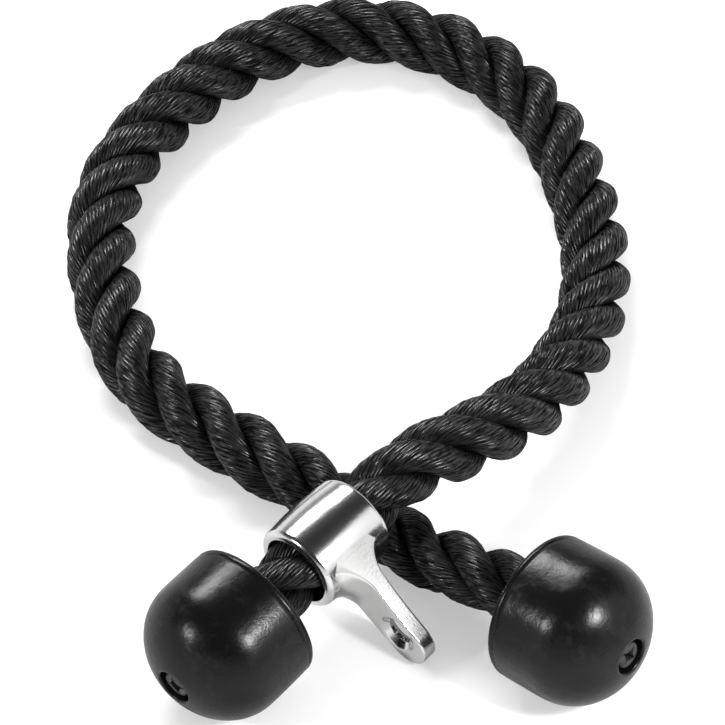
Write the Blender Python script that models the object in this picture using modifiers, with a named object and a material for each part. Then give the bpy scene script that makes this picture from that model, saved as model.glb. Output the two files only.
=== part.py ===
# Triceps rope attachment for a cable machine, lying on a table as an open loop.
# A thick three-strand rope ends in two rubber stoppers, and a steel hanger sleeve with a lug
# rides on one of its ends. Metres, +Z up, and the table top is z = 0.

import math

import bmesh
import bpy
import numpy as np
from mathutils import Matrix, Vector

# Rope
ROPE_D = 0.028
NECK_SQUEEZE = 0.0011
ROPE_SIDES_RESOLUTION = 4
LOOP_POINT_COUNT = 30
LEAD_IN = 0.002

# Rubber stopper at each end of the rope, measured from its mouth
STOPPER_D = 0.063
BARREL_LENGTH = 0.0235
DOME_LENGTH = 0.0263
MOUTH_EDGE_R = 0.0025
BORE_EDGE_R = 0.0012
RECESS_D = 0.015
RECESS_EDGE_R = 0.0010
BORE_DEPTH = 0.0288
WEB_THICKNESS = 0.0112

# Steel ferrule crimped on the rope's end
FERRULE_WALL = 0.0010
FERRULE_END_WALL = 0.0012
FERRULE_LENGTH = 0.0185
FERRULE_EDGE_R = 0.0003

# Waxed twine whipped round the rope beside the ferrule, so that the strands stay laid
WHIPPING_LENGTH = 0.0055
NECK_TAPER = 0.0015

# Nylon plug in the rope's core, which takes the screw
PLUG_D = 0.0084
PLUG_LENGTH = 0.0180

# Retaining screw and its washer in the recess
SCREW_D = 0.0050
SCREW_LENGTH = 0.030
SCREW_TIP = 0.0025
HEAD_D = 0.0130
HEAD_HEIGHT = 0.0046
HEAD_EDGE_R = 0.0020
CROSS_SPAN = 0.0080
CROSS_WIDTH = 0.0016
CROSS_DEPTH = 0.0026
WASHER_D = 0.0142
WASHER_THICKNESS = 0.0015

# Hanger sleeve, one steel casting: a barrel on the rope with a lug standing out of its side
SLEEVE_LENGTH = 0.0375
SLEEVE_D = 0.0395
SLEEVE_CROWN = 0.0008
SLEEVE_RIM_R = 0.0026
RIM_SHARE = 0.66
SLEEVE_BORE_EDGE_R = 0.0010
BORE_EDGE_SHARE = 0.28
SLEEVE_STANDOFF = 0.0230
LUG_THICKNESS = 0.0072
LUG_WIDTH = 0.0200
LUG_REACH = 0.0620
LUG_OFFSET = 0.0005
LUG_NEAR_FILLET_R = 0.0110
LUG_FAR_FILLET_R = 0.0070
LUG_EDGE_R = 0.0012
LUG_HOLE_D = 0.0120
LUG_HOLE_CHAMFER = 0.0022
LUG_HOLE_REACH = 0.0465

# How the part lies: each tail leaves its stopper along one axis and crosses the other tail
CROSSING_X = 0.0480
CROSSING_Y = 0.0491
LEFT_REACH = 0.0779
RIGHT_REACH = 0.0803
LEFT_TAIL_RISE = math.radians(6.4)
RIGHT_TAIL_FALL = math.radians(6.5)
SLEEVE_TILT = math.radians(2.0)
LUG_DROOP = math.radians(33.2)
LEFT_TAIL_LENGTH = 0.0790
RIGHT_TAIL_LENGTH = 0.0200

# Clearances
MESH_GAP = 0.0003
BORE_CLEARANCE = 0.0005
SLEEVE_CLEARANCE = 0.0010
OVERRUN = 0.004

# Fineness of the facets
TURNED_STEPS = 40
SMALL_STEPS = 24
ARC_STEPS = 5
SMALL_ARC_STEPS = 2
HEAD_ARC_STEPS = 4
SPLINE_SAMPLES = 40
EDGE_SEGMENTS = 2
MERGE_DISTANCE = 0.00001
SMOOTH_ANGLE = math.radians(40)
ROUNDED_ANGLE = math.radians(50)

# The loop's route between the two tails, chosen by hand, starting past the sleeve
LOOP_ROUTE = [
    (0.0865, 0.0445, 0.0398),
    (0.1155, 0.0420, 0.0338),
    (0.1445, 0.0450, 0.0266),
    (0.1715, 0.0527, 0.0212),
    (0.1985, 0.0645, 0.0167),
    (0.2240, 0.0817, 0.0147),
    (0.2460, 0.1035, 0.0145),
    (0.2658, 0.1293, 0.0145),
    (0.2835, 0.1590, 0.0145),
    (0.2940, 0.1925, 0.0145),
    (0.2935, 0.2265, 0.0145),
    (0.2795, 0.2595, 0.0145),
    (0.2525, 0.2825, 0.0145),
    (0.2185, 0.2930, 0.0145),
    (0.1815, 0.2935, 0.0145),
    (0.1455, 0.2870, 0.0145),
    (0.1120, 0.2717, 0.0145),
    (0.0820, 0.2445, 0.0145),
    (0.0590, 0.2130, 0.0145),
    (0.0448, 0.1783, 0.0145),
    (0.0435, 0.1455, 0.0145),
    (0.0453, 0.1125, 0.0145),
    (0.0480, 0.0805, 0.0144),
    (0.0490, 0.0491, 0.0143),
    (0.0482, 0.0295, 0.0175),
    (0.0480, 0.0105, 0.0230),
]

ROPE_R = ROPE_D / 2
STOPPER_R = STOPPER_D / 2
NECK_R = ROPE_R - NECK_SQUEEZE
BORE_R = ROPE_R + BORE_CLEARANCE
FERRULE_R = BORE_R - MESH_GAP
SCREW_R = SCREW_D / 2
SCREW_HOLE_R = SCREW_R + MESH_GAP
PLUG_R = PLUG_D / 2
SLEEVE_R = SLEEVE_D / 2
SLEEVE_BORE_R = ROPE_R + SLEEVE_CLEARANCE
FERRULE_BOTTOM = BORE_DEPTH - MESH_GAP
ROPE_END = FERRULE_BOTTOM - FERRULE_END_WALL - MESH_GAP
FERRULE_TOP = FERRULE_BOTTOM - FERRULE_LENGTH
WHIPPING_BOTTOM = FERRULE_TOP - MESH_GAP
WHIPPING_TOP = WHIPPING_BOTTOM - WHIPPING_LENGTH
RECESS_DEPTH_FROM_MOUTH = BORE_DEPTH + WEB_THICKNESS
WASHER_TOP = RECESS_DEPTH_FROM_MOUTH + MESH_GAP
HEAD_TOP = WASHER_TOP + WASHER_THICKNESS + MESH_GAP


def remove_everything():
    for found in list(bpy.data.objects):
        bpy.data.objects.remove(found)


def new_collection(name):
    made = bpy.data.collections.new(name)
    bpy.context.scene.collection.children.link(made)
    return made


def new_material(name, color, roughness, metallic):
    made = bpy.data.materials.new(name)
    made.use_nodes = True
    shader = made.node_tree.nodes["Principled BSDF"]
    shader.inputs["Base Color"].default_value = (*color, 1)
    shader.inputs["Roughness"].default_value = roughness
    shader.inputs["Metallic"].default_value = metallic
    return made


def arc(center, radius, start, end, steps=ARC_STEPS):
    """Points on an arc in a plane, from one angle to another, both in degrees."""
    angles = [math.radians(start + (end - start) * i / steps) for i in range(steps + 1)]
    return [(center[0] + radius * math.cos(a), center[1] + radius * math.sin(a)) for a in angles]


def add_object(name, data, collection, material=None):
    made = bpy.data.objects.new(name, data)
    collection.objects.link(made)
    if material:
        data.materials.append(material)
    return made


def hide_as_cutter(cutter):
    cutter.hide_render = True
    cutter.display_type = "WIRE"


def place(piece, carrier, depth=0.0):
    """Parents a piece to an empty, a depth behind it along its axis."""
    piece.parent = carrier
    piece.location = (0, 0, -depth)


def turned(name, profile, collection, material=None, closed=False, steps=TURNED_STEPS):
    """A piece turned about Z, from a profile of (radius, height) that runs down its outer side."""
    corners = [(r, 0, z) for r, z in profile]
    edges = [(i, i + 1) for i in range(len(corners) - 1)]
    if closed:
        edges.append((len(corners) - 1, 0))
    data = bpy.data.meshes.new(name)
    data.from_pydata(corners, edges, [])
    made = add_object(name, data, collection, material)
    screw = made.modifiers.new("turn", "SCREW")
    screw.axis = "Z"
    screw.steps = steps
    screw.render_steps = steps
    screw.use_merge_vertices = True
    screw.merge_threshold = MERGE_DISTANCE
    screw.use_smooth_shade = True
    return made


def boolean(piece, cutter, operation):
    step = piece.modifiers.new(operation.lower(), "BOOLEAN")
    step.operation = operation
    step.object = cutter
    step.solver = "EXACT"


def mesh_from_curve(curve_object, collection, material=None):
    """Turns a curve object into a mesh object with welded caps, in the same place."""
    name = curve_object.name
    bpy.context.view_layer.update()
    evaluated = curve_object.evaluated_get(bpy.context.evaluated_depsgraph_get())
    data = bpy.data.meshes.new_from_object(evaluated)
    weld(data)
    data.shade_smooth()
    data.set_sharp_from_angle(angle=SMOOTH_ANGLE)
    where = curve_object.matrix_world.copy()
    bpy.data.objects.remove(curve_object)
    made = add_object(name, data, collection, material)
    made.matrix_world = where
    return made


def weld(data):
    work = bmesh.new()
    work.from_mesh(data)
    bmesh.ops.remove_doubles(work, verts=work.verts, dist=MERGE_DISTANCE)
    bmesh.ops.recalc_face_normals(work, faces=work.faces)
    work.to_mesh(data)
    work.free()


def flat_outline(name, points, half_thickness, collection):
    """A closed 2D outline in the XY plane, extruded both ways along Z, as a mesh."""
    data = bpy.data.curves.new(name, "CURVE")
    data.dimensions = "2D"
    data.fill_mode = "BOTH"
    data.extrude = half_thickness
    line = data.splines.new("POLY")
    line.points.add(len(points) - 1)
    for point, (x, y) in zip(line.points, points):
        point.co = (x, y, 0, 1)
    line.use_cyclic_u = True
    return mesh_from_curve(add_object(name, data, collection), collection)


def tube(name, points, radius_shares, collection, material=None):
    """A round tube of the rope's diameter through points, with a share of its radius at each."""
    data = bpy.data.curves.new(name, "CURVE")
    data.dimensions = "3D"
    data.bevel_depth = ROPE_R
    data.bevel_resolution = ROPE_SIDES_RESOLUTION
    data.use_fill_caps = True
    line = data.splines.new("POLY")
    line.points.add(len(points) - 1)
    for point, place_of_point, share in zip(line.points, points, radius_shares):
        point.co = (*place_of_point, 1)
        point.radius = share
    return add_object(name, data, collection, material)


def smooth_curve(route, start_direction, end_direction, count):
    """Evenly spaced points on the cubic spline through a route, with its two end directions set."""
    knots = np.array(route, float)
    chords = np.linalg.norm(np.diff(knots, axis=0), axis=1)
    size = len(knots)
    rows = np.zeros((size, size))
    right = np.zeros((size, 3))
    rows[0, 0] = rows[-1, -1] = 1
    right[0] = start_direction
    right[-1] = end_direction
    for i in range(1, size - 1):
        before, after = chords[i - 1], chords[i]
        rows[i, i - 1], rows[i, i], rows[i, i + 1] = after, 2 * (before + after), before
        right[i] = 3 * (
            after * (knots[i] - knots[i - 1]) / before + before * (knots[i + 1] - knots[i]) / after
        )
    slopes = np.linalg.solve(rows, right)
    dense = []
    for i, chord in enumerate(chords):
        for t in np.linspace(0, 1, SPLINE_SAMPLES, endpoint=False):
            by_places = (2 * t**3 - 3 * t**2 + 1) * knots[i] + (3 * t**2 - 2 * t**3) * knots[i + 1]
            by_slopes = (t**3 - 2 * t**2 + t) * slopes[i] + (t**3 - t**2) * slopes[i + 1]
            dense.append(by_places + chord * by_slopes)
    dense.append(knots[-1])
    dense = np.array(dense)
    travel = np.concatenate([[0], np.cumsum(np.linalg.norm(np.diff(dense, axis=0), axis=1))])
    wanted = np.linspace(0, travel[-1], count)
    return np.stack([np.interp(wanted, travel, dense[:, k]) for k in range(3)], axis=1)


def dome_depth(radius):
    """How far behind its mouth the stopper's dome lies, at a radius from its axis."""
    return BARREL_LENGTH + DOME_LENGTH * math.sqrt(1 - (radius / STOPPER_R) ** 2)


def mouth_height_on_dome(rise):
    """Height of the mouth's centre over the table when the stopper lies on its dome and barrel."""
    under_center = math.hypot(STOPPER_R * math.cos(rise), DOME_LENGTH * math.sin(rise))
    return under_center + BARREL_LENGTH * math.sin(rise)


def mouth_height_on_lip(fall):
    """Height of the mouth's centre over the table when the stopper lies on its rounded lip."""
    core = STOPPER_R - MOUTH_EDGE_R
    return core * math.cos(fall) + MOUTH_EDGE_R - MOUTH_EDGE_R * math.sin(fall)


def end_carrier(name, position, tail_direction, collection):
    """An empty at a stopper's mouth, with +Z along the rope's tail and +X pointing down."""
    axis = Vector(tail_direction).normalized()
    down = (Vector((0, 0, -1)) + axis * axis.z).normalized()
    side = axis.cross(down)
    made = bpy.data.objects.new(name, None)
    collection.objects.link(made)
    made.matrix_world = Matrix.Translation(position) @ Matrix((down, side, axis)).transposed().to_4x4()
    bpy.context.view_layer.update()
    return made


def stopper_profile():
    """The rubber stopper's half section, mouth at the top, with its bore, web hole and recess."""
    recess_r = RECESS_D / 2
    rim_r = recess_r + RECESS_EDGE_R
    rim_angle = math.acos(rim_r / STOPPER_R)
    steps = 2 * ARC_STEPS
    dome = []
    for i in range(steps + 1):
        a = rim_angle * i / steps
        dome.append((STOPPER_R * math.cos(a), -BARREL_LENGTH - DOME_LENGTH * math.sin(a)))
    return [
        *arc((BORE_R + BORE_EDGE_R, -BORE_EDGE_R), BORE_EDGE_R, 180, 90, SMALL_ARC_STEPS),
        *arc((STOPPER_R - MOUTH_EDGE_R, -MOUTH_EDGE_R), MOUTH_EDGE_R, 90, 0),
        *dome,
        (recess_r, -dome_depth(rim_r) + RECESS_EDGE_R / 2),
        (recess_r, -RECESS_DEPTH_FROM_MOUTH),
        (SCREW_HOLE_R + MESH_GAP, -RECESS_DEPTH_FROM_MOUTH),
        (SCREW_HOLE_R + MESH_GAP, -BORE_DEPTH),
        (BORE_R, -BORE_DEPTH),
    ]


def ferrule_profile():
    inner = FERRULE_R - FERRULE_WALL
    return [
        (inner, -FERRULE_TOP),
        (FERRULE_R - FERRULE_EDGE_R, -FERRULE_TOP),
        (FERRULE_R, -FERRULE_TOP - FERRULE_EDGE_R),
        (FERRULE_R, -FERRULE_BOTTOM + FERRULE_EDGE_R),
        (FERRULE_R - FERRULE_EDGE_R, -FERRULE_BOTTOM),
        (SCREW_HOLE_R, -FERRULE_BOTTOM),
        (SCREW_HOLE_R, -FERRULE_BOTTOM + FERRULE_END_WALL),
        (inner, -FERRULE_BOTTOM + FERRULE_END_WALL),
    ]


def ring_profile(inner, outer, top, bottom):
    """The half section of a plain ring between two depths."""
    return [(inner, -top), (outer, -top), (outer, -bottom), (inner, -bottom)]


def screw_profile():
    tip = HEAD_TOP - SCREW_LENGTH
    head_r = HEAD_D / 2
    head_bottom = HEAD_TOP + HEAD_HEIGHT
    return [
        (0, -tip),
        (SCREW_R, -tip - SCREW_TIP),
        (SCREW_R, -HEAD_TOP),
        (head_r, -HEAD_TOP),
        *arc((head_r - HEAD_EDGE_R, -head_bottom + HEAD_EDGE_R), HEAD_EDGE_R, 0, -90, HEAD_ARC_STEPS),
        (0, -head_bottom),
    ]


def make_end(side, carrier, tail_length, materials, parts, cutters):
    """One end of the rope: its tail, stopper, ferrule, whipping, plug, washer and screw."""
    plug_top = ROPE_END - PLUG_LENGTH
    whipping_ring = ring_profile(NECK_R + MESH_GAP, FERRULE_R, WHIPPING_TOP, WHIPPING_BOTTOM)
    plug_ring = ring_profile(SCREW_HOLE_R, PLUG_R, plug_top, ROPE_END)
    washer_ring = ring_profile(SCREW_HOLE_R, WASHER_D / 2, WASHER_TOP, WASHER_TOP + WASHER_THICKNESS)
    rings = [
        ("rubber_stopper", stopper_profile(), "rubber", TURNED_STEPS),
        ("rope_ferrule", ferrule_profile(), "steel", TURNED_STEPS),
        ("rope_whipping", whipping_ring, "twine", TURNED_STEPS),
        ("core_plug", plug_ring, "nylon", SMALL_STEPS),
        ("screw_washer", washer_ring, "steel", SMALL_STEPS),
    ]
    for name, profile, finish, steps in rings:
        ring = turned(f"{side}_{name}", profile, parts, materials[finish], closed=True, steps=steps)
        place(ring, carrier)
    make_screw(side, carrier, materials["black_steel"], parts, cutters)
    make_tail(side, carrier, tail_length, plug_top, materials["rope"], parts, cutters)


def make_screw(side, carrier, material, parts, cutters):
    """A pan-head screw, with the cross recess for its driver cut into the head."""
    screw = turned(f"{side}_retaining_screw", screw_profile(), parts, material, steps=SMALL_STEPS)
    place(screw, carrier)
    height = CROSS_DEPTH + OVERRUN
    depth = HEAD_TOP + HEAD_HEIGHT - CROSS_DEPTH + height / 2
    for number, (width, span) in enumerate([(CROSS_SPAN, CROSS_WIDTH), (CROSS_WIDTH, CROSS_SPAN)]):
        bpy.ops.mesh.primitive_cube_add(size=1)
        slot = bpy.context.object
        slot.name = f"{side}_cross_slot_{number + 1}"
        slot.data.transform(Matrix.Diagonal((width, span, height, 1)))
        for collection in list(slot.users_collection):
            collection.objects.unlink(slot)
        cutters.objects.link(slot)
        place(slot, carrier, depth)
        hide_as_cutter(slot)
        boolean(screw, slot, "DIFFERENCE")


def make_tail(side, carrier, length, plug_top, material, parts, cutters):
    """The rope's straight tail, from its crimped end in the stopper to where the loop begins."""
    neck_share = NECK_R / ROPE_R
    neck_bottom = WHIPPING_TOP - MESH_GAP
    heights = [-ROPE_END, -neck_bottom, -neck_bottom + NECK_TAPER, length]
    shares = [neck_share, neck_share, 1, 1]
    line = tube(f"{side}_rope_tail", [(0, 0, z) for z in heights], shares, parts)
    tail = mesh_from_curve(line, parts, material)
    hole_profile = [
        (0, -plug_top + MESH_GAP),
        (PLUG_R + MESH_GAP, -plug_top + MESH_GAP),
        (PLUG_R + MESH_GAP, -ROPE_END - OVERRUN),
        (0, -ROPE_END - OVERRUN),
    ]
    hole = turned(f"{side}_plug_hole", hole_profile, cutters, steps=SMALL_STEPS)
    hide_as_cutter(hole)
    for piece in (tail, hole):
        place(piece, carrier)
    boolean(tail, hole, "DIFFERENCE")


def sleeve_profile():
    """The barrel's half section: a slightly crowned outside with round rims, and a plain bore."""
    half = SLEEVE_LENGTH / 2
    edge_r = SLEEVE_R - SLEEVE_CROWN
    wall = edge_r - SLEEVE_BORE_R
    rim_r = min(SLEEVE_RIM_R, RIM_SHARE * wall)
    bore_edge = min(SLEEVE_BORE_EDGE_R, BORE_EDGE_SHARE * wall)
    rim_core = half - rim_r
    bore_end = half - bore_edge
    outside = []
    for i in range(ARC_STEPS + 1):
        z = rim_core - 2 * rim_core * i / ARC_STEPS
        outside.append((SLEEVE_R - SLEEVE_CROWN * (z / rim_core) ** 2, z))
    return [
        *arc((SLEEVE_BORE_R + bore_edge, bore_end), bore_edge, 180, 90, SMALL_ARC_STEPS),
        *arc((edge_r - rim_r, rim_core), rim_r, 90, 0)[:-1],
        *outside,
        *arc((edge_r - rim_r, -rim_core), rim_r, 0, -90)[1:],
        *arc((SLEEVE_BORE_R + bore_edge, -bore_end), bore_edge, 270, 180, SMALL_ARC_STEPS),
    ]


def lug_side_outline():
    """The lug seen along its width: x outward, y along the sleeve, with a fillet on each side."""
    near = LUG_OFFSET - LUG_THICKNESS / 2
    far = LUG_OFFSET + LUG_THICKNESS / 2
    foot = math.sqrt(SLEEVE_R**2 - (LUG_WIDTH / 2) ** 2)
    root = (SLEEVE_BORE_R + foot) / 2
    near_center = (foot + LUG_NEAR_FILLET_R, near - LUG_NEAR_FILLET_R)
    far_center = (foot + LUG_FAR_FILLET_R, far + LUG_FAR_FILLET_R)
    return [
        (root, near - LUG_NEAR_FILLET_R),
        *arc(near_center, LUG_NEAR_FILLET_R, 180, 90, 2 * ARC_STEPS),
        (LUG_REACH + OVERRUN, near),
        (LUG_REACH + OVERRUN, far),
        *arc(far_center, LUG_FAR_FILLET_R, 270, 180, 2 * ARC_STEPS),
        (root, far + LUG_FAR_FILLET_R),
    ]


def lug_front_outline():
    """The lug seen along the sleeve: straight sides and a round tip."""
    half = LUG_WIDTH / 2
    tip_center = (LUG_REACH - half, 0)
    return [(0, -half), *arc(tip_center, half, -90, 90, 4 * ARC_STEPS), (0, half)]


def lug_hole_profile():
    """The lug hole's cutter: a plain bore with a chamfer at each face of the lug."""
    hole_r = LUG_HOLE_D / 2
    half = LUG_THICKNESS / 2
    mouth = half + OVERRUN
    flare = hole_r + LUG_HOLE_CHAMFER + OVERRUN
    return [
        (0, mouth),
        (flare, mouth),
        (hole_r, half - LUG_HOLE_CHAMFER),
        (hole_r, -half + LUG_HOLE_CHAMFER),
        (flare, -mouth),
        (0, -mouth),
    ]


def make_sleeve(carrier, materials, parts, cutters):
    """The hanger sleeve, with its origin on the rope's line at the middle of its barrel."""
    sleeve = turned("hanger_sleeve", sleeve_profile(), parts, materials["chrome"], closed=True)
    sleeve.parent = carrier
    sleeve.location = (0, 0, SLEEVE_STANDOFF + SLEEVE_LENGTH / 2)
    turn = Matrix.Rotation(LUG_DROOP - math.pi / 2, 4, "Z")
    tilt = Matrix.Rotation(SLEEVE_TILT, 4, "Y")
    sleeve.rotation_euler = (tilt @ turn).to_euler()

    lug = flat_outline("lug_side", lug_side_outline(), LUG_WIDTH, cutters)
    front = flat_outline("lug_front", lug_front_outline(), SLEEVE_LENGTH, cutters)
    for piece in (lug, front):
        piece.parent = sleeve
        hide_as_cutter(piece)
    lug.rotation_euler = (math.pi / 2, 0, 0)
    boolean(lug, front, "INTERSECT")
    rounding = lug.modifiers.new("round edges", "BEVEL")
    rounding.width = LUG_EDGE_R
    rounding.segments = EDGE_SEGMENTS
    rounding.limit_method = "ANGLE"
    rounding.angle_limit = ROUNDED_ANGLE

    hole = turned("lug_hole", lug_hole_profile(), cutters, steps=SMALL_STEPS)
    hole.parent = sleeve
    hole.location = (LUG_HOLE_REACH, 0, LUG_OFFSET)
    hide_as_cutter(hole)
    boolean(sleeve, lug, "UNION")
    boolean(sleeve, hole, "DIFFERENCE")


def make_loop(left, right, material, parts):
    """The rope's loop, from the end of the left tail round to the end of the right one."""
    left_axis = left.matrix_world.col[2].to_3d()
    right_axis = right.matrix_world.col[2].to_3d()
    start = left.matrix_world.translation + left_axis * (LEFT_TAIL_LENGTH + MESH_GAP)
    finish = right.matrix_world.translation + right_axis * (RIGHT_TAIL_LENGTH + MESH_GAP)
    first = start + left_axis * LEAD_IN
    last = finish + right_axis * LEAD_IN
    curve = smooth_curve([first, *LOOP_ROUTE, last], left_axis, -right_axis, LOOP_POINT_COUNT)
    points = [start, *curve, finish]
    tube("rope_loop", points, [1] * len(points), parts, material)


def build():
    remove_everything()
    parts = new_collection("triceps_rope_attachment")
    cutters = new_collection("cutters")
    materials = {
        "rope": new_material("rope black", (0.020, 0.020, 0.022), 0.55, 0.0),
        "rubber": new_material("rubber black", (0.030, 0.030, 0.031), 0.45, 0.0),
        "chrome": new_material("polished chrome", (0.80, 0.80, 0.79), 0.12, 1.0),
        "steel": new_material("zinc plated steel", (0.62, 0.62, 0.60), 0.35, 1.0),
        "black_steel": new_material("blackened steel", (0.050, 0.050, 0.052), 0.40, 0.8),
        "twine": new_material("waxed twine", (0.10, 0.10, 0.10), 0.80, 0.0),
        "nylon": new_material("grey nylon", (0.35, 0.35, 0.35), 0.55, 0.0),
    }
    left = end_carrier(
        "left_end",
        (CROSSING_X - LEFT_REACH, CROSSING_Y, mouth_height_on_dome(LEFT_TAIL_RISE)),
        (math.cos(LEFT_TAIL_RISE), 0, math.sin(LEFT_TAIL_RISE)),
        parts,
    )
    right = end_carrier(
        "right_end",
        (CROSSING_X, CROSSING_Y - RIGHT_REACH, mouth_height_on_lip(RIGHT_TAIL_FALL)),
        (0, math.cos(RIGHT_TAIL_FALL), -math.sin(RIGHT_TAIL_FALL)),
        parts,
    )
    make_end("left", left, LEFT_TAIL_LENGTH, materials, parts, cutters)
    make_end("right", right, RIGHT_TAIL_LENGTH, materials, parts, cutters)
    make_sleeve(left, materials, parts, cutters)
    make_loop(left, right, materials["rope"], parts)


build()
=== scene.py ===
import math

import bpy
import numpy as np
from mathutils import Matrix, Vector


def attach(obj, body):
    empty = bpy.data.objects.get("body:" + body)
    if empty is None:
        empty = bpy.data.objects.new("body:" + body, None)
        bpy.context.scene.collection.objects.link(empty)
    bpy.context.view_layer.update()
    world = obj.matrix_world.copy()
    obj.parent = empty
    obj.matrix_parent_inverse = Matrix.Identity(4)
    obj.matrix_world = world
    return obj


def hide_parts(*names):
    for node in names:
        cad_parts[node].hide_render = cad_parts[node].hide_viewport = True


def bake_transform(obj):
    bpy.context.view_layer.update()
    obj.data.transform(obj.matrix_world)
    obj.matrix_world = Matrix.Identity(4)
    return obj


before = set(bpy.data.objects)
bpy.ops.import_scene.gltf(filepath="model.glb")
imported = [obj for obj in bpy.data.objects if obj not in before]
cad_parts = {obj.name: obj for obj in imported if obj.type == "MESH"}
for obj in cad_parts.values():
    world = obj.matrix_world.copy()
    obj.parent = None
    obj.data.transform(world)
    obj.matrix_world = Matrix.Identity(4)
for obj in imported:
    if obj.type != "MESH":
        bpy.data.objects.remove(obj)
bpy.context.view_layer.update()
print("frame loaded:", len(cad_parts), "nodes")


# The camera stands where the photograph was taken from
cameraSet = dict(
    place=(-0.8141, -0.7041, 1.2885),
    target=(0.1254, 0.1307, 0.0),
    lens=206.4,
    sensor=36,
    clipEnd=100,
)


def addObject(name, data):
    made = bpy.data.objects.new(name, data)
    bpy.context.scene.collection.objects.link(made)
    return made


def aimAt(thing, place, target):
    # Stands a camera or a lamp at a place, turned towards the target
    thing.location = place
    sight = Vector(target) - Vector(place)
    thing.rotation_euler = sight.to_track_quat("-Z", "Y").to_euler()


def makeCamera(s):
    data = bpy.data.cameras.new("photoCamera")
    data.lens, data.sensor_width, data.clip_end = s["lens"], s["sensor"], s["clipEnd"]
    made = addObject("photoCamera", data)
    aimAt(made, s["place"], s["target"])
    bpy.context.scene.camera = made


makeCamera(cameraSet)


# Tools for shapes: all of them take and give whole numpy arrays
sharpAngle = math.radians(38)  # an edge that bends by more is drawn sharp


def unit(vectors):
    # Each vector divided by its own length
    return vectors / np.linalg.norm(vectors, axis=-1, keepdims=True)


def softlyPositive(values, softness):
    # Values well above zero as they are, those well below as zero, and a smooth bend between
    return softness * np.logaddexp(0, values / softness)


def addMesh(name, points, faces, body=None, attributes=None, outward=True):
    # faces is a list of arrays, each of faces with the same number of corners
    if outward:  # six times the enclosed volume is negative where the faces point inwards
        volume = sum(
            float(np.einsum("ij,ij->", points[f[:, 0]], np.cross(points[f[:, i]], points[f[:, i + 1]])))
            for f in faces
            for i in range(1, f.shape[1] - 1)
        )
        if volume < 0:
            faces = [f[:, ::-1] for f in faces]
    sizes = np.concatenate([np.full(len(f), f.shape[1]) for f in faces])
    corners = np.concatenate([f.ravel() for f in faces])
    mesh = bpy.data.meshes.new(name)
    mesh.vertices.add(len(points))
    mesh.loops.add(len(corners))
    mesh.polygons.add(len(sizes))
    mesh.vertices.foreach_set("co", points.astype(np.float32).ravel())
    mesh.loops.foreach_set("vertex_index", corners.astype(np.int32))
    mesh.polygons.foreach_set("loop_start", (np.cumsum(sizes) - sizes).astype(np.int32))
    for key, values in (attributes or {}).items():
        layer = mesh.attributes.new(key, "FLOAT_VECTOR", "POINT")
        layer.data.foreach_set("vector", values.astype(np.float32).ravel())
    mesh.update(calc_edges=True)
    mesh.shade_smooth()
    mesh.set_sharp_from_angle(angle=sharpAngle)
    made = addObject(name, mesh)
    if body:
        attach(made, body)
    return made


def gridFaces(rows, columns, wrapRows=False):
    # Quads between neighbouring rows of a grid of points. Each row closes on itself, and with wrapRows the
    # last row joins the first.
    r = np.arange(rows if wrapRows else rows - 1)[:, None]
    c = np.arange(columns)[None, :]
    nextR = (r + 1) % rows
    nextC = (c + 1) % columns
    quads = [r * columns + c, nextR * columns + c, nextR * columns + nextC, r * columns + nextC]
    return np.stack(quads, -1).reshape(-1, 4)


def tubeFaces(rows, columns, first=0):
    # The quads of a tube, and the triangles that close each of its ends round a pole. The tube's points come
    # row by row from the first, and its two poles come after them.
    ring = np.arange(columns)
    after = (ring + 1) % columns
    poles = first + rows * columns
    last = poles - columns
    fans = np.concatenate([
        np.stack([first + ring, first + after, np.full(columns, poles)], -1),
        np.stack([last + after, last + ring, np.full(columns, poles + 1)], -1),
    ])
    return gridFaces(rows, columns) + first, fans


def roundCorner(center, radius, start, end, steps):
    # An arc of a profile: the centre plus the radius times the cosine and sine of an angle in degrees
    angle = np.radians(np.linspace(start, end, steps + 1))
    return np.stack([center[0] + radius * np.cos(angle), center[1] + radius * np.sin(angle)], -1)


def around(steps):
    # Even angles over one full turn, in radians
    return np.linspace(0, 2 * np.pi, steps, endpoint=False)


def sweptPoints(radius, height, angle, place, axes):
    # Rows of points round an axis: radius times the cosine and sine of the angle, and height along the axis
    local = np.stack(np.broadcast_arrays(radius * np.cos(angle), radius * np.sin(angle), height), -1)
    return local.reshape(-1, 3) @ axes.T + place


# The rope's line, the same as in the part's source: straight tails joined by one smooth curve
ropeLine = dict(
    leftMouth=(-0.0299, 0.0491, 0.03406),
    leftAxis=(0.993768, 0.0, 0.111469),
    rightMouth=(0.0480, -0.0312, 0.031031),
    rightAxis=(0.0, 0.993572, -0.113203),
    endDepth=0.0270,
    leftTail=0.0813,
    rightTail=0.0223,
    step=0.0017,
    perSpan=60,
    cords=3,
    route=[
        (0.0865, 0.0445, 0.0398), (0.1155, 0.0420, 0.0338), (0.1445, 0.0450, 0.0266),
        (0.1715, 0.0527, 0.0212), (0.1985, 0.0645, 0.0167), (0.2240, 0.0817, 0.0147),
        (0.2460, 0.1035, 0.0145), (0.2658, 0.1293, 0.0145), (0.2835, 0.1590, 0.0145),
        (0.2940, 0.1925, 0.0145), (0.2935, 0.2265, 0.0145), (0.2795, 0.2595, 0.0145),
        (0.2525, 0.2825, 0.0145), (0.2185, 0.2930, 0.0145), (0.1815, 0.2935, 0.0145),
        (0.1455, 0.2870, 0.0145), (0.1120, 0.2717, 0.0145), (0.0820, 0.2445, 0.0145),
        (0.0590, 0.2130, 0.0145), (0.0448, 0.1783, 0.0145), (0.0435, 0.1455, 0.0145),
        (0.0453, 0.1125, 0.0145), (0.0480, 0.0805, 0.0144), (0.0490, 0.0491, 0.0143),
        (0.0482, 0.0295, 0.0175), (0.0480, 0.0105, 0.0230),
    ],
)


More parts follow.
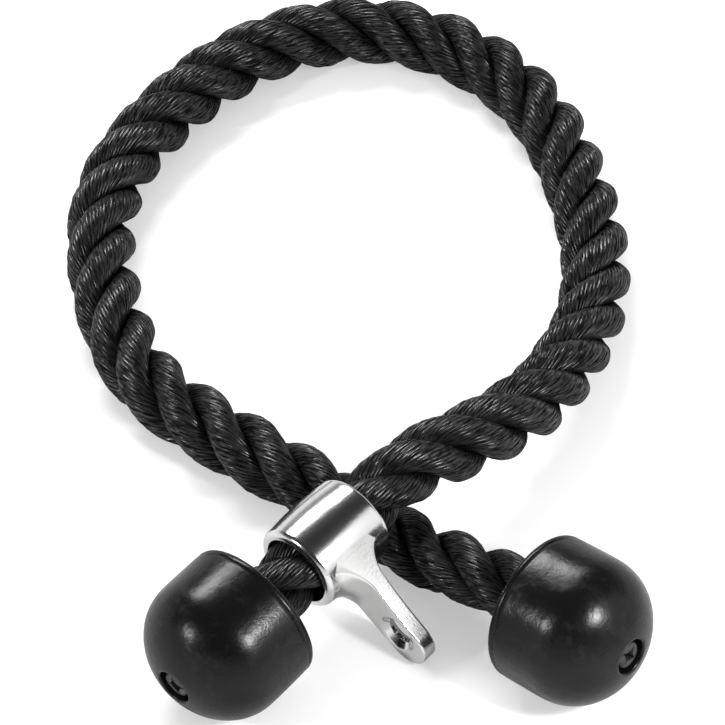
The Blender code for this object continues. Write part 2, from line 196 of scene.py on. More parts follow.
def splineThrough(knots, startSlope, endSlope, perSpan):
    # The cubic spline through the knots with both end slopes set: the slopes solve a three-banded system,
    # and each span is its four Hermite weights times its end places and slopes
    chord = np.linalg.norm(np.diff(knots, axis=0), axis=1)
    before, after = chord[:-1], chord[1:]
    size = len(knots)
    inside = np.arange(1, size - 1)
    bands = np.eye(size)
    bands[inside, inside - 1] = after
    bands[inside, inside] = 2 * (before + after)
    bands[inside, inside + 1] = before
    step = np.diff(knots, axis=0)
    right = np.zeros((size, 3))
    right[0], right[-1] = startSlope, endSlope
    right[1:-1] = 3 * ((after / before)[:, None] * step[:-1] + (before / after)[:, None] * step[1:])
    slope = np.linalg.solve(bands, right)
    t = np.linspace(0, 1, perSpan, endpoint=False)[None, :, None]
    a, b = knots[:-1, None], knots[1:, None]
    slopeA, slopeB = chord[:, None, None] * slope[:-1, None], chord[:, None, None] * slope[1:, None]
    spans = (
        (2 * t**3 - 3 * t**2 + 1) * a + (t**3 - 2 * t**2 + t) * slopeA
        + (3 * t**2 - 2 * t**3) * b + (t**3 - t**2) * slopeB
    )
    return np.concatenate([spans.reshape(-1, 3), knots[-1:]])


def evenly(points, count):
    # Points at even distances along a line, each on the straight between its neighbours, and the distances
    travel = np.concatenate([[0], np.cumsum(np.linalg.norm(np.diff(points, axis=0), axis=1))])
    wanted = np.linspace(0, travel[-1], count)
    return np.stack([np.interp(wanted, travel, values) for values in points.T], -1), wanted


def ropePath(s):
    # Even points along the whole rope, from inside one stopper to inside the other, how far along each is,
    # and the steps in one of its cords
    leftMouth, rightMouth = np.array(s["leftMouth"]), np.array(s["rightMouth"])
    leftAxis, rightAxis = np.array(s["leftAxis"]), np.array(s["rightAxis"])
    first = leftMouth + leftAxis * s["leftTail"]
    last = rightMouth + rightAxis * s["rightTail"]
    bend = splineThrough(np.array([first, *s["route"], last]), leftAxis, -rightAxis, s["perSpan"])
    whole = np.concatenate([
        [leftMouth - leftAxis * s["endDepth"]], bend, [rightMouth - rightAxis * s["endDepth"]]
    ])
    length = np.linalg.norm(np.diff(whole, axis=0), axis=1).sum()
    perCord = int(round(length / s["cords"] / s["step"]))
    return (*evenly(whole, s["cords"] * perCord + 1), perCord)


pathPoints, pathTravel, ringsPerCord = ropePath(ropeLine)
ropeLength = pathTravel[-1]
print("rope line:", round(float(ropeLength), 4), "m")

# Three strands of black multifilament, laid right-handed, whose yarns run back almost along the rope
ropeStrands = dict(
    count=3,
    diameter=0.028,
    columns=140,  # five to a yarn
    yarns=28,
    ridge=0.00036,
    yarnTwist=160.0,  # radians a metre, against the strand's own turn
    # crest radius and strand thickness: in the ferrules, in the straight ends, in the loop, at the crossing
    neck=(0.0128, 0.0082), tail=(0.0142, 0.0133), loop=(0.0154, 0.0141), crossing=(0.0141, 0.0133),
    # where it has which of these, from the left mouth and from the right one, with an even change between
    leftForms=[(-0.0045, "neck"), (-0.0015, "tail"), (0.085, "tail"), (0.125, "loop")],
    rightForms=[
        (-0.165, "loop"), (-0.100, "crossing"), (-0.060, "crossing"),
        (0.0, "tail"), (0.0015, "tail"), (0.0045, "neck"),
    ],
    # travel and length of lay: a laid rope opens and closes a little as it is bent
    pitches=[(0.0, 0.0765), (0.30, 0.0765), (0.40, 0.080), (0.60, 0.069), (0.70, 0.083), (1.1, 0.083)],
    phase=0.78,
    wedgeGap=0.00006, wedgeSoftness=0.00035,
    floor=0.0002, floorSoftness=0.0004,
    # the yarns' heights, and waves along each: height, radians a metre, times the yarn's own phase
    yarnHeights=(0.55, 1.25), yarnWaves=[(0.30, 260, 1), (0.25, 590, 2)],
    # waves in a strand's thickness: height, radians a metre, step from strand to strand, times round it
    unevenness=0.00011, swells=[(1.0, 97, 2.1, 0), (0.6, 211, 1.3, 2)],
    seed=11,
    # the attribute that the fibre's material reads: a circle for each strand, and the way along the rope
    fibreAround=8.5, fibreApart=40, fibreAlong=150,
)


def ropeSizes(s):
    # Crest radius and strand thickness along the rope: thin in the ferrules, slim in the sleeve and at the
    # crossing, full in the loop
    leftMouth, rightMouth = ropeLine["endDepth"], ropeLength - ropeLine["endDepth"]
    forms = [(leftMouth + by, s[form]) for by, form in s["leftForms"]]
    forms += [(rightMouth + by, s[form]) for by, form in s["rightForms"]]
    marks = [mark for mark, sizes in forms]
    return [np.interp(pathTravel, marks, [sizes[k] for mark, sizes in forms]) for k in (0, 1)]


def strandGrid(s, strand, rings):
    # A strand's ring in the plane across the rope is an ellipse round a point that turns about the rope's
    # line. Its columns follow the yarns, and where two strands would meet, both are pressed flat.
    crest, thickness = ropeSizes(s)
    pitch = np.interp(pathTravel, *zip(*s["pitches"]))
    spacing = pathTravel[1]
    lay = np.cumsum(2 * np.pi * spacing / pitch) + s["phase"] + strand * 2 * np.pi / s["count"]
    reach = crest - thickness / 2
    widening = np.sqrt(1 + (2 * np.pi * reach / pitch) ** 2)
    travel = pathTravel[rings][:, None]
    column = np.arange(s["columns"])[None, :]
    share = 2 * np.pi * column / s["columns"]
    turn = share - s["yarnTwist"] * travel
    yarn = column // (s["columns"] // s["yarns"])
    draw = np.random.default_rng(s["seed"] + strand)
    yarnHeight = draw.uniform(*s["yarnHeights"], s["yarns"])[yarn]
    yarnPhase = draw.uniform(0, 2 * np.pi, s["yarns"])[yarn]
    groove = np.sqrt(np.abs(np.sin(np.pi * column * s["yarns"] / s["columns"])))
    waves = sum(high * np.sin(travel * rate + times * yarnPhase) for high, rate, times in s["yarnWaves"])
    ridge = s["ridge"] * groove * yarnHeight * (1 + waves)
    swell = s["unevenness"] * sum(
        high * np.sin(travel * rate + strand * step + times * turn)
        for high, rate, step, times in s["swells"]
    )
    halfThick = thickness[rings][:, None] / 2 - s["ridge"] + ridge + swell
    x = reach[rings][:, None] + halfThick * np.cos(turn)
    y = halfThick * widening[rings][:, None] * np.sin(turn)
    # each strand has its share of the turn, and the flats against its neighbours stand at half of that
    wedge = math.pi / s["count"]
    past = math.cos(wedge) * np.abs(y) - math.sin(wedge) * x + s["wedgeGap"]
    excess = softlyPositive(past, s["wedgeSoftness"])
    x = x + math.sin(wedge) * excess
    y = y - np.where(y < 0, -1.0, 1.0) * math.cos(wedge) * excess
    tangent = unit(np.gradient(pathPoints, axis=0))[rings]
    across = unit(np.cross(tangent, [0.0, 0.0, 1.0]))
    above = np.cross(across, tangent)
    angle = lay[rings][:, None]
    alongAbove = x * np.cos(angle) - y * np.sin(angle)
    alongAcross = x * np.sin(angle) + y * np.cos(angle)
    points = (
        pathPoints[rings][:, None] + above[:, None] * alongAbove[..., None]
        + across[:, None] * alongAcross[..., None]
    )
    # lying on the table presses the lowest crests flat
    points[..., 2] = s["floor"] + softlyPositive(points[..., 2] - s["floor"], s["floorSoftness"])
    fibre = np.stack(np.broadcast_arrays(
        s["fibreAround"] * np.cos(share) + s["fibreApart"] * strand, s["fibreAround"] * np.sin(share),
        s["fibreAlong"] * travel,
    ), -1)
    return points, fibre


def makeCord(s, name, number, node, twist=None):
    # One cord's share of the rope's length: its strands, each closed at both ends
    first = number * ringsPerCord
    rows, columns = ringsPerCord + 1, s["columns"]
    rings = slice(first, first + rows)
    points, fibres, quads, fans = [], [], [], []
    for strand in range(s["count"]):
        grid, fibre = strandGrid(s, strand, rings)
        points += [grid.reshape(-1, 3), grid[[0, -1]].mean(1)]
        fibres += [fibre.reshape(-1, 3), fibre[[0, -1]].mean(1)]
        tube = tubeFaces(rows, columns, first=strand * (rows * columns + 2))
        quads.append(tube[0])
        fans.append(tube[1])
    made = addMesh(
        name, np.concatenate(points), [np.concatenate(quads), np.concatenate(fans)],
        attributes={"fibre": np.concatenate(fibres)},
    )
    if twist:
        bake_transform(made)
    else:
        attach(made, "rope_loop")
    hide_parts(node)
    line = pathPoints[rings]
    if number == ropeLine["cords"] - 1:  # each end's cord starts at its cut
        line = line[::-1]
    return made


# Where each end's pieces sit: the stopper's mouth, with the last axis along the straight rope


def endAxes(axis):
    axis = np.array(axis)
    down = unit(np.array([0, 0, -1.0]) + axis * axis[2])
    return np.stack([down, np.cross(axis, down), axis], -1)


ends = {
    side: (np.array(ropeLine[f"{side}Mouth"]), endAxes(ropeLine[f"{side}Axis"]))
    for side in ("left", "right")
}
# Two places on each end's straight rope, given from its mouth. An end's cord takes them, with its body's
# name, only as the sign to stay unattached where it is built.
twistSpans = dict(left=(0.002, 0.076), right=(-0.022, 0.026))


def endTwist(side):
    place, axes = ends[side]
    return f"{side}_end", *(tuple(place + axes[:, 2] * travel) for travel in twistSpans[side])


ropes = [
    makeCord(ropeStrands, "leftRope", 0, "left_rope_tail", endTwist("left")),
    makeCord(ropeStrands, "middleRope", 1, "rope_loop"),
    makeCord(ropeStrands, "rightRope", 2, "right_rope_tail", endTwist("right")),
]
print("rope strands done")

# The rubber stopper: a straight barrel with a rounded lip, a domed end, and a recess for the screw
stopperShape = dict(
    radius=0.0315, barrel=0.0235, dome=0.0263,
    lip=0.0022, lipLine=0.0034, lipLineDepth=0.00035, lipLineWidth=0.0005,
    mouthTaper=0.00030, blending=0.0022,
    bore=0.0145, boreEdge=0.0012, boreDepth=0.0288,
    recess=0.0075, recessEdge=0.0010, recessDepth=0.0400, screwHole=0.0031,
    steps=128, barrelSteps=200, domeSteps=400, outlineSteps=110, cornerSteps=6, lipSteps=12,
)


def stopperProfile(s):
    # The outline is the barrel's line and the dome's quarter ellipse, evened out along its length by a bell
    # curve, so that one flows into the other, but not near its ends. The barrel narrows a little towards the
    # mouth.
    rim = s["recess"] + s["recessEdge"]
    angle = np.linspace(0, math.acos(rim / s["radius"]), s["domeSteps"])[1:]
    depths = np.linspace(s["lip"], s["barrel"], s["barrelSteps"])
    narrowing = s["mouthTaper"] * ((s["barrel"] - depths) / s["barrel"]) ** 2
    barrel = np.stack([s["radius"] - narrowing, -depths], -1)
    dome = np.stack([s["radius"] * np.cos(angle), -s["barrel"] - s["dome"] * np.sin(angle)], -1)
    rimDepth = dome[-1, 1]
    outline, travel = evenly(np.concatenate([barrel, dome]), s["outlineSteps"])
    weight = np.exp(-0.5 * ((travel[:, None] - travel) / s["blending"]) ** 2)
    weight /= weight.sum(1, keepdims=True)
    nearEnd = np.minimum(travel, travel[-1] - travel)
    keep = np.clip(nearEnd / (3 * s["blending"]), 0, 1)[:, None]
    outline = outline + keep * (weight @ outline - outline)
    outline[:, 0] -= s["lipLineDepth"] * np.exp(-((-outline[:, 1] - s["lipLine"]) / s["lipLineWidth"]) ** 2)
    mouthRadius = s["radius"] - s["mouthTaper"]
    boreCorner = (s["bore"] + s["boreEdge"], -s["boreEdge"])
    recessCorner = (rim, rimDepth + s["recessEdge"])
    return np.concatenate([
        roundCorner(boreCorner, s["boreEdge"], 180, 90, s["cornerSteps"]),
        roundCorner((mouthRadius - s["lip"], -s["lip"]), s["lip"], 90, 0, s["lipSteps"])[:-1],
        outline,
        roundCorner(recessCorner, s["recessEdge"], 270, 180, s["cornerSteps"])[1:],
        [(s["recess"], -s["recessDepth"]), (s["screwHole"], -s["recessDepth"])],
        [(s["screwHole"], -s["boreDepth"]), (s["bore"], -s["boreDepth"])],
    ])


def makeStopper(s, side, place, axes):
    profile = stopperProfile(s)
    points = sweptPoints(profile[:, :1], profile[:, 1:], around(s["steps"]), place, axes)
    faces = gridFaces(len(profile), s["steps"], wrapRows=True)
    made = addMesh(f"{side}Stopper", points, [faces], f"{side}_end")
    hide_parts(f"{side}_rubber_stopper")
    return made


stoppers = [makeStopper(stopperShape, side, place, axes) for side, (place, axes) in ends.items()]
print("stoppers done")

# The screw: a pan head whose cross recess is a star with four hollow sides, and its shank
screwShape = dict(
    top=0.0421, head=0.0058, headRadius=0.0061, shoulder=0.0015, crown=0.00030,
    star=0.0054, starPower=0.58, starDepth=0.0034, starWall=0.40,
    shank=0.0025, tip=0.0121, point=0.0025, tipRadius=0.0004,
    steps=144, rings=46, shoulderSteps=10,
    turns=dict(left=0.35, right=0.75),
)


def makeScrew(s, side, place, axes):
    # The face's height is a shallow dome, less the depth of the star. The star is where its two distances
    # across, each divided by its reach and raised to a power below one, add up to less than one.
    angle = around(s["steps"])
    flat = s["headRadius"] - s["shoulder"]
    radius = np.linspace(0, flat, s["rings"])[1:, None]
    turned = angle + s["turns"][side]
    x, y = radius * np.cos(turned), radius * np.sin(turned)
    inside = 1 - (np.abs(x) / s["star"]) ** s["starPower"] - (np.abs(y) / s["star"]) ** s["starPower"]
    sunk = s["starDepth"] * np.clip(inside / s["starWall"], 0, 1)
    bottom = -s["top"] - s["head"]
    face = bottom + s["crown"] * (radius / flat) ** 2 + sunk
    corner = (flat, bottom + s["crown"] + s["shoulder"])
    rest = np.concatenate([roundCorner(corner, s["shoulder"], -90, 0, s["shoulderSteps"])[1:], [
        (s["headRadius"], -s["top"]), (s["shank"], -s["top"]), (s["shank"], -s["tip"] - s["point"]),
        (s["tipRadius"], -s["tip"]),
    ]])
    radii = np.concatenate([radius, rest[:, :1]])
    heights = np.concatenate([face, np.repeat(rest[:, 1:], s["steps"], axis=1)])
    points = sweptPoints(radii, heights, angle, place, axes)
    poles = np.array([[0, 0, bottom + s["starDepth"]], [0, 0, -s["tip"]]]) @ axes.T + place
    faces = tubeFaces(len(radii), s["steps"])
    made = addMesh(f"{side}Screw", np.concatenate([points, poles]), faces, f"{side}_end")
    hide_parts(f"{side}_retaining_screw")
    return made


screws = [makeScrew(screwShape, side, place, axes) for side, (place, axes) in ends.items()]
print("screws done")

# The whipping: waxed twine wound round the rope's neck beside the ferrule
whippingShape = dict(
    inner=0.0132, outer=0.0141, top=0.0042, bottom=0.0097,
    turns=7,
    valley=0.55,  # how much of the band's thickness stays between two turns of the twine
    edge=0.25, edgeSlope=8,  # how much stands at the band's edges, and how fast it grows from there
    steps=120, rows=57,
)


def makeWhipping(s, side, place, axes):
    # The outer radius rises and falls with the height plus a share of the turn, so that the ridges climb
    # round the band like one wound thread
    angle = around(s["steps"])
    down = np.linspace(0, 1, s["rows"])[:, None]
    thread = np.abs(np.sin(np.pi * (down * s["turns"] + angle / (2 * np.pi))))
    shoulder = np.minimum(1, s["edgeSlope"] * np.minimum(down, 1 - down) + s["edge"])
    band = (s["outer"] - s["inner"]) * (s["valley"] + (1 - s["valley"]) * thread) * shoulder
    inside = np.full((1, s["steps"]), s["inner"])
    radius = np.concatenate([inside, s["inner"] + band, inside])
    height = -s["top"] - (s["bottom"] - s["top"]) * down
    height = np.concatenate([height[:1], height, height[-1:]])
    points = sweptPoints(radius, height, angle, place, axes)
    faces = gridFaces(len(radius), s["steps"], wrapRows=True)
    made = addMesh(f"{side}Whipping", points, [faces], f"{side}_end")
    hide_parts(f"{side}_rope_whipping")
    return made


whippings = [makeWhipping(whippingShape, side, place, axes) for side, (place, axes) in ends.items()]
print("whippings done")

# The hanger sleeve: one casting, a crowned barrel on the rope with a lug that flows out of its side
sleeveShape = dict(
    center=(0.01159, 0.0491, 0.038714),
    lug=(0.042009, -0.836764, -0.545949),
    width=(0.064196, 0.547563, -0.834298),
    axis=(0.997053, 0.0, 0.076719),
    half=0.01875, radius=0.01975, crown=0.0008, rim=0.0026,
    bore=0.0150, boreEdge=0.0009,
    lugHalfThick=0.0036, lugHalfWidth=0.0100, lugReach=0.0620, lugOffset=0.0005, lugEdge=0.0009,
    openFlare=0.1300, tightFlare=0.0100, nearFillet=0.0115, farFillet=0.0070, filletSpread=0.003,
    holeReach=0.0465, holeRadius=0.0060, holeChamfer=0.0027, holeEdge=0.0007,
    # the field's grid starts where none of its planes lies on a flat face of the casting or grazes its bore
    gridLow=(-0.02178, -0.02178, -0.02062), gridHigh=(0.0640, 0.0215, 0.0205), gridStep=0.00044,
    probe=0.1, rounds=5, leastSlope=0.2,  # how its points are moved on to the surface
)


def roundUnion(a, b, radius):
    # The nearer of two solids, with a fillet of that radius where they meet
    gap = np.hypot(np.maximum(radius - a, 0), np.maximum(radius - b, 0))
    return np.maximum(radius, np.minimum(a, b)) - gap


def roundCut(a, b, radius):
    # Solid a without solid b, with its cut edges rounded
    return -roundUnion(-a, b, radius)


def roundedBox(q1, q2, radius):
    # The distance to a shape that is the meeting of two slabs, given both overshoots, with round edges
    p1, p2 = q1 + radius, q2 + radius
    return np.hypot(np.maximum(p1, 0), np.maximum(p2, 0)) + np.minimum(np.maximum(p1, p2), 0) - radius


def flaredPlan(x, y, outer, s):
    # The casting seen along the rope: a circle and a strip, joined on both sides by an arc that touches both,
    # wide on one side and tight on the other. Between the lines from the arc's centre to the two places where
    # it touches, the distance is the arc's radius less that to its centre.
    width, flare = s["lugHalfWidth"], np.where(y < 0, s["openFlare"], s["tightFlare"])
    centerX = np.sqrt((outer + flare) ** 2 - (width + flare) ** 2)
    strip = np.hypot(x - np.clip(x, 0, s["lugReach"] - width), y) - width
    side = np.abs(y)
    betweenThem = (x < centerX) & (side * centerX < x * (width + flare))
    arc = flare - np.hypot(x - centerX, side - width - flare)
    return np.where(betweenThem, arc, np.minimum(np.hypot(x, y) - outer, strip))


def sleeveField(p, s):
    # How far a point is outside the casting, in the sleeve's own axes: x out along the lug, z along the rope
    x, y, z = p[..., 0], p[..., 1], p[..., 2]
    fromAxis = np.hypot(x, y)
    outer = s["radius"] - s["crown"] * (z / (s["half"] - s["rim"])) ** 2
    barrel = roundedBox(fromAxis - outer, np.abs(z) - s["half"], s["rim"])
    slab = np.abs(z - s["lugOffset"]) - s["lugHalfThick"]
    toFar = 0.5 + 0.5 * np.tanh(z / s["filletSpread"])
    plate = roundUnion(barrel, slab, s["nearFillet"] + (s["farFillet"] - s["nearFillet"]) * toFar)
    solid = np.minimum(barrel, roundedBox(flaredPlan(x, y, outer, s), plate, s["lugEdge"]))
    solid = roundCut(solid, fromAxis - s["bore"], s["boreEdge"])
    fromHole = np.hypot(x - s["holeReach"], y)
    flare = np.maximum(slab + s["holeChamfer"], 0)
    return roundCut(solid, fromHole - s["holeRadius"] - flare, s["holeEdge"])


def surfaceOfField(field, s):
    # The zero surface of a field: a point in each grid cell that it crosses, at the mean of where it crosses
    # the cell's edges, with four cells round each crossed edge making a face. The points are then moved on
    # to the surface along the field's slope.
    low, high, step = np.array(s["gridLow"]), np.array(s["gridHigh"]), s["gridStep"]
    counts = np.ceil((high - low) / step).astype(int) + 1
    lines = [low[k] + step * np.arange(counts[k]) for k in range(3)]
    values = field(np.stack(np.meshgrid(*lines, indexing="ij"), -1))
    inside = values < 0
    cells = tuple(counts - 1)

    def shifted(array, offset):
        return array[tuple(slice(o, o + c) for o, c in zip(offset, cells))]

    total = np.zeros(cells + (3,))
    number = np.zeros(cells)
    for k in range(3):
        for a in (0, 1):
            for b in (0, 1):
                start = [a, b]
                start.insert(k, 0)
                finish = list(start)
                finish[k] = 1
                v0, v1 = shifted(values, start), shifted(values, finish)
                crossed = (v0 < 0) != (v1 < 0)
                share = np.where(crossed, v0 / np.where(crossed, v0 - v1, 1), 0)
                for j in range(3):
                    total[..., j] += np.where(crossed, share if j == k else start[j], 0)
                number += crossed
    used = number > 0
    index = np.full(cells, -1)
    index[used] = np.arange(used.sum())
    points = low + step * (np.argwhere(used) + total[used] / number[used][:, None])
    quads = []
    for k in range(3):
        others = [j for j in range(3) if j != k]
        here = [slice(1, c) for c in cells]
        here[k] = slice(0, cells[k])
        ahead = list(here)
        ahead[k] = slice(1, cells[k] + 1)
        a, b = inside[tuple(here)], inside[tuple(ahead)]
        crossed = a != b
        spot = np.argwhere(crossed) + [0 if j == k else 1 for j in range(3)]
        corners = []
        for d1, d2 in ((0, 0), (1, 0), (1, 1), (0, 1)):
            cell = spot.copy()
            cell[:, others[0]] -= d1
            cell[:, others[1]] -= d2
            corners.append(index[tuple(cell.T)])
        made = np.stack(corners, -1)
        turnBack = b[crossed] if k != 1 else ~b[crossed]
        made[turnBack] = made[turnBack][:, ::-1]
        quads.append(made)
    reach = step * s["probe"]
    for _ in range(s["rounds"]):
        slope = np.stack([
            (field(points + reach * np.eye(3)[k]) - field(points - reach * np.eye(3)[k])) / (2 * reach)
            for k in range(3)
        ], -1)
        steepness = np.maximum((slope**2).sum(-1), s["leastSlope"])
        points = points - slope * (field(points) / steepness)[:, None]
    return points, np.concatenate(quads), unit(slope)


def makeSleeve(s):
    points, quads, normals = surfaceOfField(lambda p: sleeveField(p, s), s)
    axes = unit(np.array([s["lug"], s["width"], s["axis"]])).T
    made = addMesh("hangerSleeve", points @ axes.T + np.array(s["center"]), [quads], "sleeve")
    made.data.normals_split_custom_set_from_vertices(normals @ axes.T)
    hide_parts("hanger_sleeve")
    return made


sleeve = makeSleeve(sleeveShape)
print("sleeve done:", len(sleeve.data.vertices), "points")


# Materials. A Wire is a socket that adds and multiplies like a number.


class Wire:
    def __init__(self, paint, socket):
        self.paint, self.socket = paint, socket

    def math(self, operation, *values):
        return self.paint.add("Math", dict(operation=operation), dict(enumerate(values)))

    def __add__(self, other):
        return self.math("ADD", self, other)

    def __rsub__(self, other):
        return self.math("SUBTRACT", other, self)

    def __mul__(self, other):
        return self.math("MULTIPLY", self, other)

    __radd__, __rmul__ = __add__, __mul__

    def either(self, other):
        return self.math("MAXIMUM", self, other)

    def between(self, low, high):
        # 0 at low and below, 1 at high and above, smooth between
        values = {"Value": self, "From Min": low, "From Max": high}
        return self.paint.add("MapRange", dict(interpolation_type="SMOOTHSTEP"), values)

    def weakened(self, share):
        # A mask that keeps this share of its effect: it runs from 1 less the share up to 1
        return self * share + (1 - share)


class Paint:
    def __init__(self, name, world=False):
        self.owner = bpy.data.worlds.new(name) if world else bpy.data.materials.new(name)
        self.owner.use_nodes = True
        self.tree = self.owner.node_tree
        self.tree.nodes.clear()

    def add(self, kind, settings=None, values=None, out=0):
        made = self.tree.nodes.new("ShaderNode" + kind)
        for key, value in (settings or {}).items():
            setattr(made, key, value)
        for key, value in (values or {}).items():
            if isinstance(value, Wire):
                self.tree.links.new(value.socket, made.inputs[key])
            else:
                made.inputs[key].default_value = value
        return Wire(self, made.outputs[out]) if len(made.outputs) else None

    def objectPlace(self):
        return self.add("TexCoord", None, None, "Object")

    def noise(self, vector, scale, detail, roughness, distortion=0.0):
        values = {"Vector": vector, "Scale": scale, "Detail": detail, "Roughness": roughness,
                  "Distortion": distortion}
        return self.add("TexNoise", None, values)

    def mix(self, factor, a, b):
        # A Mix node's colours are its inputs 6 and 7 and its output 2
        a, b = (color if isinstance(color, Wire) else (*color, 1) for color in (a, b))
        return self.add("Mix", dict(data_type="RGBA"), {0: factor, 6: a, 7: b}, 2)

    def bump(self, height, strength, distance, below=None):
        values = {"Strength": strength, "Distance": distance, "Height": height}
        if below:
            values["Normal"] = below
        return self.add("Bump", None, values)

    def surface(self, values):
        return self.finish(self.add("BsdfPrincipled", None, values))

    def finish(self, shader):
        kind = "OutputWorld" if isinstance(self.owner, bpy.types.World) else "OutputMaterial"
        self.add(kind, None, {"Surface": shader})
        return self.owner


def grey(tone):
    return (tone,) * 3


# The rope's fibre. Each pattern is a noise's scale, detail and roughness, and a pair of edges says between
# which of its values a mask goes from 0 to 1.
ropeFinish = dict(
    threads=(1.20, 2.0, 0.6), fine=(3.0, 2.0, 0.6), patches=(55.0, 3.0, 0.6),
    threadEdges=(0.38, 0.58), fineEdges=(0.35, 0.60), patchEdges=(0.32, 0.60),
    fineShare=0.55, patchShare=0.50, threadHeight=0.62,
    # dark is painted shade between the threads, light a painted sheen on their lit lines
    dark=(0.0010, 0.0010, 0.0011), light=(0.018, 0.018, 0.019),
    rough=0.50, patchRough=0.06, bump=(1.0, 0.0013),
    coatRough=0.29, coatIndex=1.58, specular=0.08,
)


def paintRope(s):
    # The fibre is dull, and a thin coat that shines lies only on the threads' bright lines, in patches. The
    # base colour is also lighter on these lit lines, a painted sheen, and darkest between the threads,
    # painted shade.
    paint = Paint("blackRopeFibre")
    fibre = paint.add("Attribute", dict(attribute_name="fibre"), None, "Vector")
    threads, fine = paint.noise(fibre, *s["threads"]), paint.noise(fibre, *s["fine"])
    patches = paint.noise(paint.objectPlace(), *s["patches"])
    # the threads' lit lines: the coat lies on them, and the base colour is lighter there as a painted sheen
    lit = threads.between(*s["threadEdges"]) * fine.between(*s["fineEdges"]).weakened(s["fineShare"])
    height = threads * s["threadHeight"] + fine * (1 - s["threadHeight"])
    return paint.surface({
        "Base Color": paint.mix(lit, s["dark"], s["light"]),
        "Roughness": s["rough"] + patches * s["patchRough"],
        "Normal": paint.bump(height, *s["bump"]),
        "Coat Weight": lit * patches.between(*s["patchEdges"]).weakened(s["patchShare"]),
        "Coat Roughness": s["coatRough"], "Coat IOR": s["coatIndex"], "Specular IOR Level": s["specular"],
    })


# The stoppers' rubber: black, with a fine grain and a little grey dust
rubberFinish = dict(
    cloud=(70.0, 5.0, 0.62), grain=(1500.0, 2.0, 0.5), smear=(210.0, 4.0, 0.7, 0.6),
    cloudEdges=(0.48, 0.78), smearEdges=(0.35, 0.70), dustShare=0.8, grainHeight=0.2,
    dark=(0.0040, 0.0040, 0.0042), light=(0.021, 0.021, 0.021),
    rough=0.20, dustRough=0.28, cloudRough=0.12, bump=(0.24, 0.0006), cloudBump=(0.16, 0.0020),
    specular=0.26,
)


def paintRubber(s):
    paint = Paint("mouldedRubber")
    place = paint.objectPlace()
    cloud, grain, smear = (paint.noise(place, *s[key]) for key in ("cloud", "grain", "smear"))
    dust = cloud.between(*s["cloudEdges"]) * smear.between(*s["smearEdges"])
    height = grain * s["grainHeight"] + smear * (1 - s["grainHeight"])
    return paint.surface({
        "Base Color": paint.mix(dust * s["dustShare"], s["dark"], s["light"]),
        "Roughness": s["rough"] + dust * s["dustRough"] + cloud * s["cloudRough"],
        "Normal": paint.bump(height, *s["bump"], paint.bump(cloud, *s["cloudBump"])),
        "Specular IOR Level": s["specular"],
    })


# The sleeve's casting: polished metal with faint waves, fine specks and a haze
castingFinish = dict(
    waves=(130.0, 3.0, 0.55), specks=(900.0, 3.0, 0.65), haze=(60.0, 4.0, 0.6),
    hazeEdges=(0.45, 0.80), hazeShare=0.5,
    bright=(0.86, 0.86, 0.855), dull=(0.70, 0.70, 0.69),
    rough=0.10, hazeRough=0.07, speckRough=0.09, speckBump=(0.15, 0.0003), waveBump=(0.012, 0.0010),
)


def paintCasting(s):
    paint = Paint("polishedCasting")
    place = paint.objectPlace()
    waves, specks, haze = (paint.noise(place, *s[key]) for key in ("waves", "specks", "haze"))
    return paint.surface({
        "Base Color": paint.mix(haze.between(*s["hazeEdges"]) * s["hazeShare"], s["bright"], s["dull"]),
        "Metallic": 1.0,
        "Roughness": s["rough"] + haze * s["hazeRough"] + specks * s["speckRough"],
        "Normal": paint.bump(specks, *s["speckBump"], paint.bump(waves, *s["waveBump"])),
    })


# The smaller pieces: two tones in clouds, whose roughness follows them, and a finer grain in the surface
plainPattern = dict(cloud=(4.0, 0.6), grain=(2.0, 0.5), grainTimes=7, edges=(0.35, 0.7), grainDepth=0.0003)
plainFinishes = dict(
    blackenedScrew=dict(
        dark=grey(0.020), light=grey(0.070), metallic=0.85, rough=(0.24, 0.42), scale=300.0, bump=0.15,
    ),
    darkZincWasher=dict(
        dark=grey(0.045), light=grey(0.10), metallic=0.9, rough=(0.35, 0.55), scale=260.0, bump=0.15,
    ),
    zincFerrule=dict(
        dark=(0.50, 0.50, 0.49), light=(0.66, 0.66, 0.64), metallic=1.0, rough=(0.28, 0.50), scale=220.0,
        bump=0.15,
    ),
    greyNylon=dict(
        dark=grey(0.30), light=grey(0.38), metallic=0.0, rough=(0.45, 0.60), scale=180.0, bump=0.10,
    ),
    waxedTwine=dict(
        dark=grey(0.05), light=grey(0.12), metallic=0.0, rough=(0.60, 0.85), scale=700.0, bump=0.40,
    ),
)


def paintPlain(name, s, pattern):
    paint = Paint(name)
    place = paint.objectPlace()
    cloud = paint.noise(place, s["scale"], *pattern["cloud"])
    grain = paint.noise(place, s["scale"] * pattern["grainTimes"], *pattern["grain"])
    smoothest, roughest = s["rough"]
    return paint.surface({
        "Base Color": paint.mix(cloud.between(*pattern["edges"]), s["dark"], s["light"]),
        "Metallic": s["metallic"],
        "Roughness": smoothest + cloud * (roughest - smoothest),
        "Normal": paint.bump(grain, s["bump"], pattern["grainDepth"]),
    })


def cover(piece, material):
    piece.data.materials.clear()
    piece.data.materials.append(material)


ropeFibre, rubber, casting = paintRope(ropeFinish), paintRubber(rubberFinish), paintCasting(castingFinish)
plain = {name: paintPlain(name, finish, plainPattern) for name, finish in plainFinishes.items()}
finished = [
    (ropes, ropeFibre), (stoppers, rubber), ([sleeve], casting),
    (whippings, plain["waxedTwine"]), (screws, plain["blackenedScrew"]),
]
for pieces, material in finished:
    for piece in pieces:
        cover(piece, material)
# these pieces keep the shape that the CAD gives them
cadFinishes = dict(screw_washer="darkZincWasher", rope_ferrule="zincFerrule", core_plug="greyNylon")
for side in ends:
    for nodeName, finish in cadFinishes.items():
        cover(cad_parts[f"{side}_{nodeName}"], plain[finish])
print("materials done")

